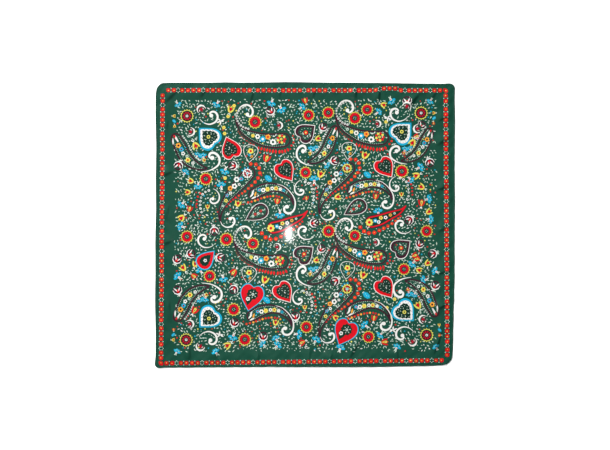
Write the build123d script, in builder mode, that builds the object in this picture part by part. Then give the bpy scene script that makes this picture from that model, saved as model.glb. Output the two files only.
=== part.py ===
from build123d import *
import os

# A square printed satin headscarf, laid out flat with its printed face up.
#
# The scarf is one satin panel whose four edges are folded over twice and sewn down with a lockstitch seam.
# Each hem is the panel's own cloth: it climbs from the panel, runs out to the edge, folds under, comes back,
# and folds once more, so that the cut edge is hidden between the two outer layers. A needle thread lies
# along the top of every hem, and a bobbin thread along its underside. Hems and threads turn the soft corners
# on an arc and meet their neighbours on the corner's diagonal.
#
# Frame: +X is the scarf's right edge, +Y its far edge, +Z up out of the printed face. The origin is the
# middle of the panel, on the surface that the scarf lies on. All sizes are in millimetres.

# The finished scarf.
SCARF_WIDTH = 700.0  # along X, edge to edge
SCARF_DEPTH = 665.0  # along Y, edge to edge
CORNER_RADIUS = 14.0  # a rolled hem can't make a sharp corner

# The materials.
CLOTH = 0.2  # thickness of the satin
THREAD = 0.25  # thickness of the sewing thread

# The hem's section. An inset is measured inwards from the finished edge.
HEM_WIDTH = 4.0  # how far the fold under reaches
CUT_EDGE_INSET = 0.9  # the hidden cut edge stops short of the outer fold
RISE_START_INSET = 7.0  # the cloth leaves the table here
RISE_END_INSET = 4.7  # and has reached the height of the hem here
PANEL_INSET = 8.0  # where the panel's node ends and the hem's begins
SEAM_INSET = 3.2  # the line of stitches, just outside the inner fold
LAYER_PITCH = 0.26  # from one layer of the fold to the next
CONTACT_GAP = 0.01  # between a thread and the cloth that it lies on
FOLD_SHARE = 0.98  # a fold's radius, as a share of half the height that it spans

# Heights of the middle of each layer above the table.
PANEL_LAYER = CLOTH / 2
UNDER_LAYER = THREAD + CONTACT_GAP + CLOTH / 2
CUT_LAYER = UNDER_LAYER + LAYER_PITCH
TOP_LAYER = CUT_LAYER + LAYER_PITCH
NEEDLE_THREAD_HEIGHT = TOP_LAYER + CLOTH / 2 + CONTACT_GAP + THREAD / 2
BOBBIN_THREAD_HEIGHT = THREAD / 2

# Each side: its name, how far it is turned from the far side, its finished length, and how far its edge
# is from the middle of the scarf.
SIDES = [
    ("far", 0, SCARF_WIDTH, SCARF_DEPTH / 2),
    ("left", 90, SCARF_DEPTH, SCARF_WIDTH / 2),
    ("near", 180, SCARF_WIDTH, SCARF_DEPTH / 2),
    ("right", 270, SCARF_DEPTH, SCARF_WIDTH / 2),
]
HALF_CORNER = 45  # degrees: a side's hem turns half of the corner at each of its ends


def hem_section(plane):
    """The folded cloth, cut across: local x is the inset and local y the height."""
    outer_fold_inset = CLOTH / 2
    outer_fold = FOLD_SHARE * (TOP_LAYER - UNDER_LAYER) / 2
    inner_fold = FOLD_SHARE * (CUT_LAYER - UNDER_LAYER) / 2
    rise = RISE_START_INSET - RISE_END_INSET
    with BuildSketch(plane) as section:
        with BuildLine():
            FilletPolyline(
                (PANEL_INSET, PANEL_LAYER),
                (RISE_START_INSET, PANEL_LAYER),
                (RISE_END_INSET, TOP_LAYER),
                (outer_fold_inset, TOP_LAYER),
                (outer_fold_inset, UNDER_LAYER),
                (HEM_WIDTH, UNDER_LAYER),
                (HEM_WIDTH, CUT_LAYER),
                (CUT_EDGE_INSET, CUT_LAYER),
                radius=[rise, rise, outer_fold, outer_fold, inner_fold, inner_fold],
            )
        trace(line_width=CLOTH)
    return section


def thread_section(plane, height):
    """A sewing thread on the seam line, cut across."""
    with BuildSketch(plane) as section:
        with Locations((SEAM_INSET, height)):
            Circle(THREAD / 2)
    return section


def along_side(turn, length, reach, make_section, *details):
    """Runs a section along one side of the scarf and round half of the corner at each end."""
    right_end = Vector(length / 2 - CORNER_RADIUS, reach, 0).rotate(Axis.Z, turn)
    left_end = Vector(CORNER_RADIUS - length / 2, reach, 0).rotate(Axis.Z, turn)
    leftwards = Vector(-1, 0, 0).rotate(Axis.Z, turn)
    inwards = Vector(0, -1, 0).rotate(Axis.Z, turn)
    at_right = Plane(right_end, x_dir=inwards, z_dir=leftwards)
    at_left = Plane(left_end, x_dir=inwards, z_dir=leftwards)
    with BuildPart() as run:
        straight = make_section(at_right, *details)
        extrude(straight.sketch, amount=length - 2 * CORNER_RADIUS)
        for end, plane, sense in ((right_end, at_right, -1), (left_end, at_left, 1)):
            corner = Axis(end + inwards * CORNER_RADIUS, (0, 0, 1))
            turned = make_section(plane, *details)
            revolve(turned.sketch, axis=corner, revolution_arc=sense * HALF_CORNER)
    return run


def write(name, label):
    """Labels a finished piece and writes it as a file of its own."""
    name.part.label = label
    export_step(name.part, f"parts/{label}.step")


os.makedirs("parts", exist_ok=True)

with BuildPart() as satin_panel:
    with BuildSketch():
        RectangleRounded(
            SCARF_WIDTH - 2 * PANEL_INSET,
            SCARF_DEPTH - 2 * PANEL_INSET,
            CORNER_RADIUS - PANEL_INSET,
        )
    extrude(amount=CLOTH)
write(satin_panel, "satin_panel")

for side, turn, length, reach in SIDES:
    hem = along_side(turn, length, reach, hem_section)
    write(hem, f"hem_{side}")
    needle_thread = along_side(turn, length, reach, thread_section, NEEDLE_THREAD_HEIGHT)
    write(needle_thread, f"needle_thread_{side}")
    bobbin_thread = along_side(turn, length, reach, thread_section, BOBBIN_THREAD_HEIGHT)
    write(bobbin_thread, f"bobbin_thread_{side}")
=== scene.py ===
import math
import random

import bpy
import numpy as np
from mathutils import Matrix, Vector
from mathutils.geometry import delaunay_2d_cdt


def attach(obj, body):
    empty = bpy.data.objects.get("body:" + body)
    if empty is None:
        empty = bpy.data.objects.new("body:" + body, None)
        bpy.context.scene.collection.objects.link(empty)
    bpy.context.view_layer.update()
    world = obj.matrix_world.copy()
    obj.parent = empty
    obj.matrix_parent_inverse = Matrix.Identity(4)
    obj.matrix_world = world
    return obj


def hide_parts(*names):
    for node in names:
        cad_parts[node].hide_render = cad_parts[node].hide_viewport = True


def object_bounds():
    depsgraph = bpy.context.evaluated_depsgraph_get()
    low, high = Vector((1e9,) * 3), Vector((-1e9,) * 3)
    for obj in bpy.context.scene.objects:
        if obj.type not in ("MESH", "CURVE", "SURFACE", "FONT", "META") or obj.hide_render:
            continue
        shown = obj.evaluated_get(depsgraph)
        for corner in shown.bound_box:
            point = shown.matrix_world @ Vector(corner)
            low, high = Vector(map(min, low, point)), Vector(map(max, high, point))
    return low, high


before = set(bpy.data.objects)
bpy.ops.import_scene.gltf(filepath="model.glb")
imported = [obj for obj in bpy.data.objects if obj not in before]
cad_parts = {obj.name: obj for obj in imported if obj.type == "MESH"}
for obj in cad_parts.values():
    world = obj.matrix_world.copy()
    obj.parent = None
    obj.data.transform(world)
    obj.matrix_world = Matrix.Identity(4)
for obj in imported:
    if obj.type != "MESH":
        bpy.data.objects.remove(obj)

# A square headscarf of printed satin, laid out flat with its printed face up.
#
# The cloth is printed flat, then hemmed, then laid out, and the script goes the same way. The print is a list
# of dyed outlines in millimetres on the flat cloth. One triangulation cuts the cloth along all of them, so each
# triangle holds one dye. lay_out() then takes any point of the hemmed cloth to where it lies on the table, and
# the panel, the hems and the stitches all go through it, so they stay together.

cad_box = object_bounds()

MM = 0.001
WIDTH = (cad_box[1].x - cad_box[0].x) / MM
DEPTH = (cad_box[1].y - cad_box[0].y) / MM
HALF_X = WIDTH / 2
HALF_Y = DEPTH / 2

# The hem's section in millimetres, as in the solids. An inset is measured inwards from the finished edge.
CORNER_RADIUS = 14.0
CLOTH = 0.2
THREAD = 0.25
HEM_WIDTH = 4.0
CUT_EDGE_INSET = 0.9
RISE_START_INSET = 7.0
RISE_END_INSET = 4.7
SEAM_INSET = 3.2
LAYER_PITCH = 0.26
CONTACT_GAP = 0.01
PANEL_LAYER = CLOTH / 2
UNDER_LAYER = THREAD + CONTACT_GAP + CLOTH / 2
CUT_LAYER = UNDER_LAYER + LAYER_PITCH
TOP_LAYER = CUT_LAYER + LAYER_PITCH
PRINT_INSET = 4.0  # the printed panel ends here, on top of the hem, and the hem's own piece begins
EDGE_STEP = 4.0  # between the hem's sections, along the edge

SIDES = ("far", "left", "near", "right")

chance = random.Random(7)

# ---- Dyes ----

DYES = {
    "ground": (0.0028, 0.0335, 0.0200),
    "deep": (0.0008, 0.0140, 0.0080),
    "red": (0.330, 0.0005, 0.0048),
    "scarlet": (0.385, 0.0070, 0.0048),
    "wine": (0.120, 0.0024, 0.0120),
    "aubergine": (0.0225, 0.0028, 0.0090),
    "yellow": (0.372, 0.345, 0.0540),
    "amber": (0.420, 0.186, 0.0186),
    "blue": (0.0025, 0.198, 0.310),
    "white": (0.422, 0.418, 0.398),
    "mint": (0.285, 0.353, 0.298),
}


def principled(name, values):
    """A new material, its tree and its shader, with these values on the shader's own sockets."""
    material = bpy.data.materials.new(name)
    material.use_nodes = True
    shader = material.node_tree.nodes["Principled BSDF"]
    for socket, value in values.items():
        shader.inputs[socket].default_value = value
    return material, material.node_tree, shader


def add_node(tree, kind, inputs, **settings):
    """A shader node. Each of its inputs is given a number, or another node's output to link to."""
    node = tree.nodes.new("ShaderNode" + kind)
    for setting, value in settings.items():
        setattr(node, setting, value)
    for socket, value in inputs.items():
        if isinstance(value, bpy.types.NodeSocket):
            tree.links.new(value, node.inputs[socket])
        else:
            node.inputs[socket].default_value = value
    return node


def satin(name, colour, gloss=1.0):
    """Satin dyed one colour: glossy floats one way, fine cross threads, slubs, and an uneven polish."""
    look = {
        "Base Color": (*colour, 1.0),
        "Specular IOR Level": 0.07 * gloss,
        "Sheen Weight": 0.006,
        "Sheen Roughness": 0.4,
        "Coat Weight": 0.024 * gloss,
        "Coat Roughness": 0.08,
    }
    material, tree, shader = principled(name, look)
    place = tree.nodes.new("ShaderNodeTexCoord").outputs["Object"]
    floats_look = {"Vector": place, "Scale": 700.0, "Distortion": 1.5, "Detail": 2.0, "Detail Scale": 0.6}
    floats = add_node(tree, "TexWave", floats_look, bands_direction="X")
    picks_look = {"Vector": place, "Scale": 430.0, "Distortion": 2.5, "Detail Scale": 0.8}
    picks = add_node(tree, "TexWave", picks_look, bands_direction="Y")
    stretch = add_node(tree, "Mapping", {"Vector": place, "Scale": (900.0, 45.0, 45.0)})
    slubs = add_node(tree, "TexNoise", {"Vector": stretch.outputs["Vector"], "Scale": 1.0, "Detail": 3.0})
    mottle = add_node(tree, "TexNoise", {"Vector": place, "Scale": 26.0, "Detail": 4.0})
    crossed = {0: picks.outputs["Fac"], 1: 0.45, 2: floats.outputs["Fac"]}
    weave = add_node(tree, "Math", crossed, operation="MULTIPLY_ADD")
    height = add_node(tree, "Math", {0: weave.outputs[0], 1: slubs.outputs["Fac"]}, operation="ADD")
    relief = add_node(tree, "Bump", {"Height": height.outputs[0], "Strength": 0.22, "Distance": 0.00006})
    tree.links.new(relief.outputs["Normal"], shader.inputs["Normal"])
    polish = {"Value": mottle.outputs["Fac"], "From Min": 0.3, "From Max": 0.7, "To Min": 0.48, "To Max": 0.62}
    roughness = add_node(tree, "MapRange", polish)
    tree.links.new(roughness.outputs["Result"], shader.inputs["Roughness"])
    return material


def twisted_thread(name, colour):
    """Sewing thread: a fine twist along the stitch in relief, with painted shade and painted highlight in bands
    that follow the twist over its one dye.
    """
    material, tree, shader = principled(name, {"Sheen Weight": 0.15, "Roughness": 0.55})
    place = tree.nodes.new("ShaderNodeTexCoord").outputs["Object"]
    twist = add_node(tree, "TexWave", {"Vector": place, "Scale": 900.0}, bands_direction="DIAGONAL").outputs["Fac"]
    # The dye darkened and lightened along the twist: painted shade in its grooves and painted highlight on its
    # ridges.
    dark, light = [(*[share * c for c in colour], 1.0) for share in (0.7, 1.3)]
    shade = add_node(tree, "Mix", {"A": dark, "B": light, "Factor": twist}, data_type="RGBA")
    tree.links.new(shade.outputs["Result"], shader.inputs["Base Color"])
    relief = add_node(tree, "Bump", {"Height": twist, "Strength": 0.5, "Distance": 0.00005})
    tree.links.new(relief.outputs["Normal"], shader.inputs["Normal"])
    return material


# ---- Outlines, in millimetres ----


def circle(radius, sides=12, u=0.0, v=0.0):
    angles = np.linspace(0, 2 * math.pi, sides, endpoint=False)
    return np.stack([u + radius * np.cos(angles), v + radius * np.sin(angles)], 1)


def scallops(radius, bumps, depth, per_bump=3):
    """A round outline with a scalloped edge."""
    angles = np.linspace(0, 2 * math.pi, bumps * per_bump, endpoint=False)
    reach = radius + depth * np.cos(bumps * angles)
    return np.stack([reach * np.cos(angles), reach * np.sin(angles)], 1)


def petal(length, width, steps=4):
    """A leaf from the origin along +u, pointed at both ends."""
    share = np.linspace(0, 1, steps + 1)
    half = 0.5 * width * np.sin(math.pi * share) ** 0.8
    upper = np.stack([length * share, half], 1)
    lower = np.stack([length * share[1:-1], -half[1:-1]], 1)[::-1]
    return np.concatenate([upper, lower])


def drop(length, width, sides=20):
    """A teardrop round the origin, with its tip towards +u."""
    angles = np.linspace(0, 2 * math.pi, sides, endpoint=False)
    half = 0.65 * width * np.sin(angles) * np.sin(angles / 2) ** 1.2
    return np.stack([0.5 * length * np.cos(angles), half], 1)


def curve(points, steps=6):
    """A smooth line through the points."""
    points = np.asarray(points, float)
    ends = np.concatenate([[2 * points[0] - points[1]], points, [2 * points[-1] - points[-2]]])
    share = np.linspace(0, 1, steps, endpoint=False)[:, None]
    runs = []
    for a, b, c, d in zip(ends[:-3], ends[1:-2], ends[2:-1], ends[3:]):
        square, cube = 2 * a - 5 * b + 4 * c - d, 3 * b - a - 3 * c + d
        runs.append(0.5 * (2 * b + (c - a) * share + square * share**2 + cube * share**3))
    return np.concatenate(runs + [points[-1:]])


def heart_line(length, width, steps=3, notch=0.41):
    """A plump heart round the origin, with its tip towards +u and a shallow notch."""
    lobe = [(0.50, 0.0), (0.30, 0.20), (0.06, 0.41), (-0.20, 0.50), (-0.42, 0.40), (-0.50, 0.20), (-notch, 0.0)]
    upper = curve(lobe, steps)
    lower = upper[-2:0:-1] * (1, -1)
    return np.concatenate([upper, lower]) * (length, width)


def walk(path):
    """How far along a path each of its points is."""
    return np.concatenate([[0], np.cumsum(np.linalg.norm(np.diff(path, axis=0), axis=1))])


def place_at(path, walked, distance):
    """The point, or the points, at a distance along a path."""
    return np.stack([np.interp(distance, walked, path[:, k]) for k in (0, 1)], -1)


def scalloped(outline, bumps, depth):
    """The outline with small scallops cut into it, measured from its middle."""
    middle = outline.mean(0)
    steps = 3 * bumps
    closed = np.concatenate([outline, outline[:1]])
    walked = walk(closed)
    line = place_at(closed, walked, np.linspace(0, walked[-1], steps, endpoint=False)) - middle
    reach = np.linalg.norm(line, axis=1)
    wave = depth * np.cos(2 * math.pi * np.arange(steps) / 3)
    return line * ((reach + wave) / reach)[:, None] + middle


def along(path, values):
    """Spreads a few values evenly along a path."""
    return np.interp(np.linspace(0, 1, len(path)), np.linspace(0, 1, len(values)), values)


def sideways(path):
    """The unit vectors to the left of a path."""
    heading = np.gradient(path, axis=0)
    heading /= np.maximum(np.linalg.norm(heading, axis=1), 1e-9)[:, None]
    return np.stack([-heading[:, 1], heading[:, 0]], 1)


def band(path, half_widths, cap=0):
    """The outline of a stroke along a path. cap is how many points round off its start."""
    left = sideways(path)
    upper = path + left * half_widths[:, None]
    lower = path - left * half_widths[:, None]
    pieces = [lower, upper[::-1]]
    if cap:
        back = -np.array([left[0][1], -left[0][0]])
        angles = np.linspace(0, math.pi, cap + 2)[1:-1]
        round_end = np.cos(angles)[:, None] * left[0] + np.sin(angles)[:, None] * back
        pieces.append(path[0] + half_widths[0] * round_end)
    return np.concatenate(pieces)


# ---- The print ----

PRINT = []  # (dye, outline, fine), in the order in which they are printed


class Spot:
    """A place on the cloth. What is drawn there turns, grows and flips with it."""

    def __init__(self, axes, origin):
        self.axes = np.array(axes, float)
        self.origin = np.array(origin, float)

    def to_cloth(self, points):
        return np.asarray(points, float) @ self.axes.T + self.origin

    def at(self, u, v, turn=0.0, scale=1.0, mirror=(1, 1)):
        c, s = math.cos(math.radians(turn)), math.sin(math.radians(turn))
        turned = np.array([[c, -s], [s, c]]) @ np.diag(mirror) * scale
        return Spot(self.axes @ turned, self.to_cloth((u, v)))

    def draw(self, dye, outline, fine=False):
        PRINT.append((dye, self.to_cloth(outline), fine))

    def dot(self, dye, u, v, radius, sides=7, fine=False):
        self.draw(dye, circle(radius, sides, u, v), fine)

    def fleck(self, u, v, radius=1.0, dye="mint"):
        self.dot(dye, u, v, radius, 5, True)

    def petals(self, dye, u, v, turns, length, width, start=0.0, fine=False, steps=4):
        """Petals that spread from a point, and begin a little way from it."""
        for turn in turns:
            self.at(u, v, turn).draw(dye, petal(length, width, steps) + (start, 0), fine)

    def stroke(self, dye, points, half_widths, steps=5):
        path = curve(points, steps)
        self.draw(dye, band(path, along(path, half_widths)))


SCARF = Spot(np.eye(2), (0, 0))


def ring_flower(spot):
    """A red ring with dark flecks in a scalloped yellow one, with a speckled green eye."""
    spot.draw("yellow", scallops(14.5, 14, 1.7))
    spot.draw("deep", scallops(12.7, 14, 0.9))
    spot.draw("red", scallops(11.9, 9, 0.6))
    spot.draw("wine", scallops(7.1, 7, 0.7))
    spot.draw("deep", scallops(5.4, 7, 0.7))
    spot.petals("wine", 0, 0, range(20, 380, 40), 4.2, 1.7, 8.3, True, 2)
    for k in range(6):
        spot.at(0, 0, 60 * k + 20).fleck(2.8, 0, 0.9, ("mint", "yellow", "blue")[k % 3])


def corner_flower(spot):
    """A thin scalloped ring round dark petals and a small white ring."""
    spot.draw("yellow", scallops(14.8, 16, 1.7))
    spot.draw("deep", scallops(12.8, 16, 0.6, 2))
    spot.draw("aubergine", scallops(11.2, 12, 0.8))
    spot.petals("red", 0, 0, range(0, 360, 36), 5.4, 2.6, 5.0)
    spot.draw("deep", circle(4.8, 12))
    spot.draw("white", circle(3.0, 10))
    spot.dot("ground", 0, 0, 1.5)


def star_flower(spot, ring="white", eye="white"):
    """A pale scalloped ring set with red, round a blue eye."""
    spot.draw(ring, scallops(10.8, 12, 1.4))
    spot.draw("aubergine", circle(8.3, 14))
    for k in range(8):
        spot.petals("red" if k % 3 else ring, 0, 0, (45 * k,), 4.4, 3.0, 3.9)
    spot.draw(eye, circle(3.6, 10))
    spot.dot("blue", 0, 0, 2.0)


def floret(spot, petals, middle, radius, count=6):
    spot.draw(petals, scallops(0.98 * radius, count, 0.15 * radius))
    spot.dot(middle, 0, 0, 0.44 * radius)


def florets(spot, rows):
    """Florets as rows of place, petals, middle, radius and number of petals."""
    for u, v, petals, middle, radius, count in rows:
        floret(spot.at(u, v), petals, middle, radius, count)


def heart(spot, length, width, line, body, share, skew, notch=0.41, line_width=4.6, window_dye="deep"):
    """A heart in a thin line, with a scalloped green window that lies a little to one side."""
    spot.draw(line, heart_line(length, width, 3, notch))
    spot.draw(body, heart_line(length - line_width, width - 0.9 * line_width, 3, notch) + (-0.3, 0))
    window = heart_line(share * length, share * width, 3, notch) + (-0.8, skew)
    spot.draw(window_dye, scalloped(window, 13, 1.0))
    for u, v in heart_line(0.50 * length, 0.48 * width, 2, notch)[::2]:
        spot.fleck(u - 0.8, v + skew, 0.95)


def pale_heart(spot):
    heart(spot, 57, 57, "blue", "white", 0.66, 1.2, 0.455, 9.4)
    for k, point in enumerate(heart_line(44, 44, 3, 0.455)[::2]):
        spot.petals("ground", *point, (57 * k,), 3.6, 1.5, 0, True, 2)
    floret(spot.at(-2, 1), "yellow", "ground", 4.4, 7)
    spot.petals("mint", -2, 1, range(30, 390, 60), 3.6, 1.6, 7.4, True)


def red_heart(spot):
    heart(spot, 54, 47, "white", "red", 0.69, 1.8, line_width=3.3)
    spot.petals("white", -3, 2, (0,), 5.5, 1.8, fine=True)
    spot.petals("mint", -4, 3, (80,), 4.0, 1.5, fine=True)
    spot.petals("mint", -6, 0, (200,), 3.4, 1.4, fine=True)


def dark_heart(spot):
    heart(spot, 50, 48, "white", "aubergine", 0.69, 0.0, line_width=3.6, window_dye="ground")
    floret(spot.at(-3, 0), "red", "yellow", 5.2)


def big_heart(spot):
    """A red heart in a blue line, with a green window and a small white flower in it."""
    spot.draw("blue", heart_line(65, 58))
    spot.draw("red", heart_line(60, 53))
    spot.draw("deep", scallops(13.0, 9, 1.6) + (-9, 1))
    spot.draw("deep", drop(24, 17) + (7, -5))
    floret(spot.at(4, -7), "white", "ground", 4.6, 5)
    spot.petals("mint", -9, 2, range(0, 360, 60), 4.2, 1.8, 5.0, True)
    floret(spot.at(-9, 2), "mint", "deep", 3.2, 5)


def leaf_heart(spot):
    spot.draw("blue", drop(55, 43))
    spot.draw("red", drop(49, 37) + (-0.5, 0))
    spot.draw("deep", scalloped(drop(33, 24) + (-2.0, 0), 11, 0.9))
    floret(spot.at(-5, 0), "white", "ground", 4.0, 5)


def dark_drop(spot):
    """A dark teardrop in a white line, with a row of florets inside."""
    spot.draw("white", drop(61, 40))
    spot.draw("aubergine", drop(58, 37.2) + (-0.3, 0))
    spot.draw("ground", drop(47.5, 28) + (-1.0, 0))
    for u, v, dye in ((-12, 0, "red"), (-4, 2, "mint"), (3, 0, "red"), (10, 1, "mint")):
        floret(spot.at(u, v), dye, "ground", 3.2, 5)
    for place in ((-9, 6), (-7, -6.5), (-1, -5.5), (1, 5.5), (8, -4), (15, 0)):
        spot.fleck(*place)


def pale_drop(spot):
    """A teardrop drawn in one thin white line, round a small upright flower."""
    spot.draw("white", drop(43, 37))
    spot.draw("ground", drop(40.4, 34.4) + (-0.2, 0))
    floret(spot.at(-6, 0), "yellow", "red", 6.8, 5)
    floret(spot.at(3, -1), "blue", "ground", 3.4, 5)
    floret(spot.at(6, 4), "amber", "ground", 3.2, 5)
    for u, v in ((-14, 3), (-9, 9), (-9, -9), (0, 9), (1, -8), (12, 0), (-14, -4)):
        spot.petals("mint", u, v, (40 * u,), 3.6, 1.5, fine=True)


def leaves(spot, reach, count=2):
    """Small pale leaves at the foot of a flower."""
    for k in range(count):
        turn = 180 + (k - 0.5 * (count - 1)) * 52 + chance.uniform(-8, 8)
        dye = "white" if chance.random() < 0.3 else "mint"
        spot.petals(dye, -reach, 0, (turn,), chance.uniform(5.5, 8.0), 2.2, fine=True)


def bud(spot):
    """A dark bud in a white sepal that opens towards +u, with a red heart and two white petals."""
    spot.draw("white", scallops(10.6, 9, 0.5))
    spot.draw("aubergine", scallops(9.6, 9, 0.4) + (1.6, 0))
    spot.draw("ground", petal(10, 7) + (-1, 0))
    spot.draw("red", petal(9.5, 7.0) + (-7.0, 0))
    spot.petals("white", -3, 1.5, (27,), 11.5, 3.0)
    spot.petals("white", -3, -1.5, (-33,), 9.5, 2.8)
    leaves(spot, 10.5, 3)


def crescent_bud(spot):
    """A white crescent with a small dark red flower in it."""
    spot.draw("white", scallops(9.2, 9, 0.4))
    spot.draw("ground", circle(8.1, 14, 2.4, 0))
    spot.petals("wine", -3, 0, (-46, 0, 46), 9.5, 4.4)
    floret(spot.at(0.5, 0), "wine", "red", 3.4, 5)
    spot.petals("white", -1, 3.4, (20,), 4.6, 1.6, fine=True)
    spot.petals("mint", -1, -3.4, (-20,), 4.6, 1.6, fine=True)


def tulip(spot):
    """A cup with three points. Some are yellow with a red flower, and some the other way round."""
    outer, inner = ("yellow", "red") if chance.random() < 0.55 else ("red", "yellow")
    side = [(-7.5, 0), (-6.0, 3.6), (-2.0, 6.2), (2.5, 7.2), (7.5, 7.4), (5.0, 4.4), (4.6, 2.6), (8.6, 0)]
    spot.draw(outer, side + [(u, -v) for u, v in side[-2:0:-1]])
    for turn in (-27, 27):
        spot.petals("deep", -3.5, 0, (turn,), 9.5, 3.0)
        spot.petals(inner, -2.5, 0, (0.7 * turn,), 7.5, 2.6)
    spot.petals(inner, -5.0, 0, (0,), 11.0, 5.0)
    spot.petals("wine", -3.0, 0, (0,), 6.0, 1.6, fine=True)
    spot.dot("amber", -5.6, 0, 1.6, 6)
    leaves(spot, 7.5)


def bell(spot):
    """Rounded blue petals on a white and red foot."""
    for turn in (-62, -20, 20, 62):
        spot.at(-3.5, 0, turn).draw("blue", drop(9.6, 5.4) * (-1, 1) + (5.8, 0))
    spot.petals("deep", -3.5, 0, (0,), 6.5, 2.2, 1.5, True)
    spot.dot("white", -4.2, 0, 2.5)
    spot.dot("red", -4.2, 0, 1.3, 6)
    for turn in (-41, 0, 41):
        spot.at(-3.5, 0, turn).fleck(7.2, 0, 0.95, "yellow" if turn else "mint")
    leaves(spot, 5.5)


def blue_drop(spot):
    spot.draw("blue", scallops(7.2, 7, 0.6) * (1.35, 0.85))
    for place in ((-4, 1), (0.5, -1), (4, 1)):
        spot.fleck(*place, 0.8)


def fleur(spot):
    """A small white three-petalled sprig."""
    for turn, length in ((-62, 9.0), (0, 11.0), (62, 9.0), (170, 10.0), (200, 7.5)):
        spot.petals("white", 0, 0, (turn,), length, 3.4)


def scroll(spot, sweep=300.0):
    """A white spiral: a ball, and an arm that swells and then runs out to a point."""
    angles = np.radians(np.linspace(0, sweep, 36))
    radii = along(angles, (5.5, 9.5, 12.5, 14.5, 16.0, 18.0, 22.0, 28.0))
    path = np.stack([radii * np.cos(angles), radii * np.sin(angles)], 1)
    spot.draw("white", band(path, along(path, (1.6, 2.1, 2.4, 2.3, 1.9, 1.3, 0.5))))
    spot.dot("white", 0.9, 0.5, 4.5, 14)


def lace(spot, points, pitch=6.4, radius=2.5):
    """A chain of tiny white rings."""
    path = curve(points, 12)
    walked = walk(path)
    for distance in np.arange(0, walked[-1], pitch):
        u, v = place_at(path, walked, distance)
        spot.dot("white", u, v, radius * chance.uniform(0.8, 1.1), 7, True)
        spot.fleck(u, v, 0.48 * radius, "ground")


def beads(spot, points, sizes, dyes=("red",), gap=1.6, tall=1.0):
    """A string of blocks along a line, whose sizes change along it. tall stretches them across the line."""
    path = curve(points, 12)
    walked = walk(path)
    left = sideways(path)
    place, count = 0.0, 0
    while place < walked[-1]:
        size = float(np.interp(place / walked[-1], np.linspace(0, 1, len(sizes)), sizes))
        index = int(np.searchsorted(walked, place).clip(0, len(path) - 1))
        tilt = math.degrees(math.atan2(-left[index][0], left[index][1]))
        block = spot.at(*path[index], tilt + 6 * (-1) ** count)
        block.draw(dyes[count % len(dyes)], scallops(0.5 * size, 4, 0.06 * size) * (1, tall))
        if size > 5:
            block.fleck(chance.uniform(-0.8, 0.8), chance.uniform(-0.8, 0.8), 0.17 * size, "amber")
        place += size + gap
        count += 1


def dotted(spot, path, pitch=4.3, radius=0.85):
    """A row of fine pale dots along a path."""
    walked = walk(path)
    for distance in np.arange(0, walked[-1], pitch):
        spot.fleck(*place_at(path, walked, distance), radius)


def paisley(spot, spine, half_widths, rim_width=3.5):
    """A curled body: a dark rim round an inside lined with pale dots, round at the head, a thread at the tail."""
    path = curve(spine)
    widths = along(path, half_widths)
    spot.draw("aubergine", band(path, widths, 9))
    inner = np.maximum(widths - rim_width, 0.0)
    wide = inner > 0.7
    spot.draw("ground", band(path[wide], inner[wide], 9))
    lined = inner > 2.6
    for side in (-1, 1):
        dotted(spot, (path + side * sideways(path) * (inner[:, None] - 1.3))[lined])
    heads = path[inner > 5.5]
    for k, (u, v) in enumerate(heads[1::2]):
        reach = 4.6 * (-1) ** k
        turn = chance.uniform(0, 180)
        spot.petals("deep" if k % 3 == 0 else "mint", u, v + reach, (turn,), 4.4, 1.8, -2.2, True, 2)


# ---- The repeat, in millimetres from the flower in the head of its first paisley ----


def long_paisley(spot):
    """White scroll, dark tail, and a body that sweeps to the right, with red beads below."""
    spine = [(5, -4), (-18, -6), (-44, -3), (-67, 5), (-85, 14), (-97, 25), (-104, 38), (-105, 46)]
    paisley(spot, spine, (17.5, 17.5, 15.5, 12, 8.5, 5.2, 2.8, 1.0))
    for k in range(9):
        spot.petals("yellow" if k % 2 else "red", 0.5, -2, (40 * k,), 8.0, 6.0, 4.0)
    spot.draw("ground", scallops(5.6, 6, 0.8) + (0.5, -2))
    florets(spot, (
        (0, -2, "yellow", "red", 3.2, 5), (-19, -9, "white", "ground", 7.2, 7),
        (-31, 3, "amber", "red", 6.2, 5), (-43, -2, "blue", "white", 6.8, 8),
        (-55, 4, "white", "ground", 5.6, 6), (-66, 6, "yellow", "amber", 4.4, 6),
        (-76, 11, "mint", "ground", 3.2, 5),
    ))
    for u, v, turn in ((-14, 5, 60), (-31, -12, 120), (-49, -9, 100), (-20, 4, 10), (-10, -14, 150)):
        spot.petals("white", u, v, (turn,), 6.0, 2.2, fine=True)
    beads(spot, [(-103, 20), (-92, 4), (-76, -9), (-60, -17)], (1.8, 2.6, 4.0), ("wine", "red"))
    lower = [(-53, -23), (-36, -27), (-16, -31), (4, -31), (18, -26)]
    beads(spot, lower, (4.2, 4.8, 4.6), ("red", "scarlet"), 2.4, 1.9)
    beads(spot, [(24, -17), (30, -6), (27, 8)], (5.0, 3.8), ("red", "scarlet"), 3.4)
    lace(spot, [(-84, 75), (-96, 68), (-103, 58), (-104, 46), (-98, 34), (-88, 26), (-76, 22)])
    lace(spot, [(-97, 46), (-90, 36)], 6.0, 1.9)
    hook = [(-79, 53), (-73, 51), (-67, 57), (-67, 67), (-74, 76), (-85, 78), (-95, 73), (-101, 64)]
    spot.stroke("white", hook, (1.7, 2.1, 2.3, 2.1, 1.8, 1.3, 0.6))
    spot.dot("white", -79, 55.5, 4.3, 14)


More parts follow.
